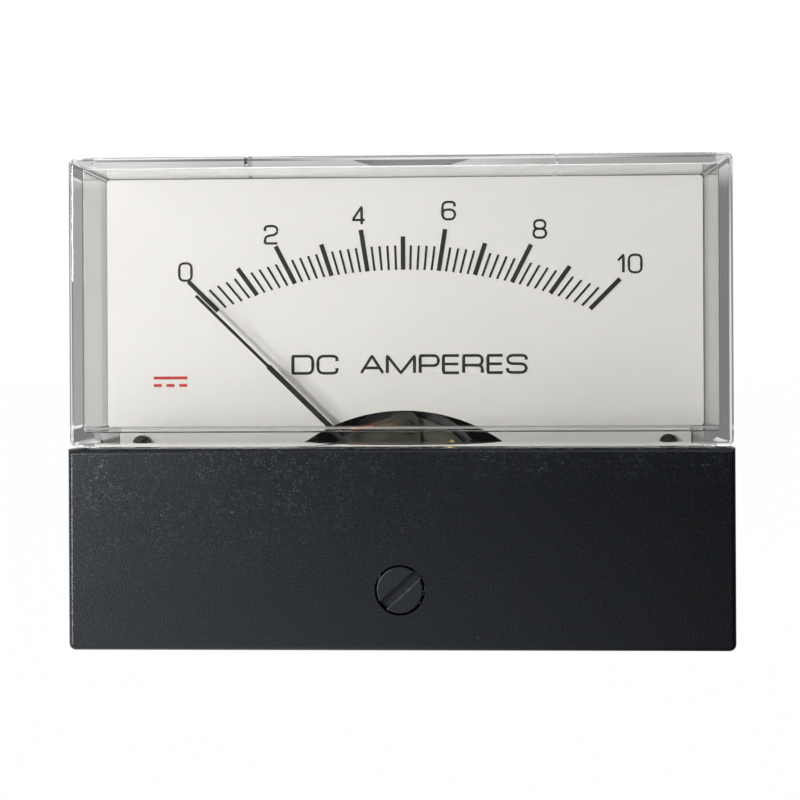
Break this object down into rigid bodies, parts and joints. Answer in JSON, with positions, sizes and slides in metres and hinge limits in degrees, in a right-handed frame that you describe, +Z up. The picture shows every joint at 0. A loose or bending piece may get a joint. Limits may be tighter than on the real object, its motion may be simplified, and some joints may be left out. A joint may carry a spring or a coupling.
{
  "type": "analog panel meter",
  "caption": "Rectangular moving-coil panel meter with a clear stepped cover, black lower mask, white arched scale, sprung pointer, slotted zero screw and rear screw terminals.",
  "frame": {"origin": "on the barrel's axis, in the plane of the flange's back face where the panel sits", "axes": "+X to the right seen from the front, +Y backward along the barrel, +Z up; the dial faces -Y"},
  "size_m": [0.0768, 0.0623, 0.057],
  "materials": {
    "black_moulding": "black moulded phenolic, satin",
    "clear_acrylic": "clear moulded acrylic, polished",
    "grained_black": "black plastic with a fine sparkle grain",
    "dial_white": "off-white satin paint on thin aluminium",
    "scale_ink": "dark grey print",
    "black_screw": "blackened steel",
    "magnet": "cast magnet, dark grey",
    "soft_iron": "soft iron, dull plated",
    "nickel_silver": "nickel silver sheet",
    "brass": "turned brass",
    "bronze": "phosphor bronze strip",
    "copper": "bare copper",
    "dark_casting": "dark finished die casting",
    "steel": "plated steel",
    "aluminium": "thin aluminium frame",
    "pointer_black": "matte black painted aluminium",
    "ruby": "polished synthetic ruby"
  },
  "bodies": {
    "housing": {"base": "black_moulding", "bridge_screws": "steel", "core_magnet": "magnet", "core_screws": "brass", "cover_screws": "steel", "dial_plate": "dial_white", "dial_screws": "black_screw", "fixing_studs": "steel", "frame_screws": "steel", "front_bridge": "nickel_silver", "front_core_strip": "nickel_silver", "front_cover": "clear_acrylic", "front_jewel_screw": "brass", "leads": "copper", "lock_nuts": "brass", "lower_mask": "grained_black", "movement_frame": "dark_casting", "pivot_jewels": "ruby", "rear_core_strip": "nickel_silver", "rear_jewel_screw": "brass", "rear_spring_tag": "brass", "scale_marks": "scale_ink", "shunt_strip": "copper", "solder_lug": "brass", "terminal_nuts": "brass", "terminal_studs": "brass", "terminal_washers": "steel", "yoke_ring": "soft_iron"},
    "moving_coil": {"balance_weights": "brass", "coil_former": "aluminium", "coil_winding": "copper", "front_hairspring": "bronze", "front_staff": "steel", "pointer": "pointer_black", "rear_hairspring": "bronze", "rear_staff": "steel"},
    "zero_lever": {"zero_lever": "nickel_silver"},
    "zero_screw": {"zero_screw": "grained_black"}
  },
  "joints": [
    {"name": "pointer_turn", "type": "hinge", "parent": "housing", "child": "moving_coil", "pos_m": [0, 0, -0.01195], "axis": [0, 1, 0], "range_deg": [-2.5, 93.5], "stiffness_Nm_per_rad": 0.00002, "deforming": ["front_hairspring", "rear_hairspring"]},
    {"name": "zero_screw_turn", "type": "hinge", "parent": "housing", "child": "zero_screw", "pos_m": [0, 0, -0.0215], "axis": [0, 1, 0], "range_deg": [-40, 40]},
    {"name": "zero_lever_turn", "type": "hinge", "parent": "housing", "child": "zero_lever", "pos_m": [0, 0, -0.01195], "axis": [0, 1, 0], "range_deg": [-4.31, 4.31]}
  ],
  "couplings": [
    {"joint": "zero_lever_turn", "follows": "zero_screw_turn", "ratio": -0.1077}
  ]
}
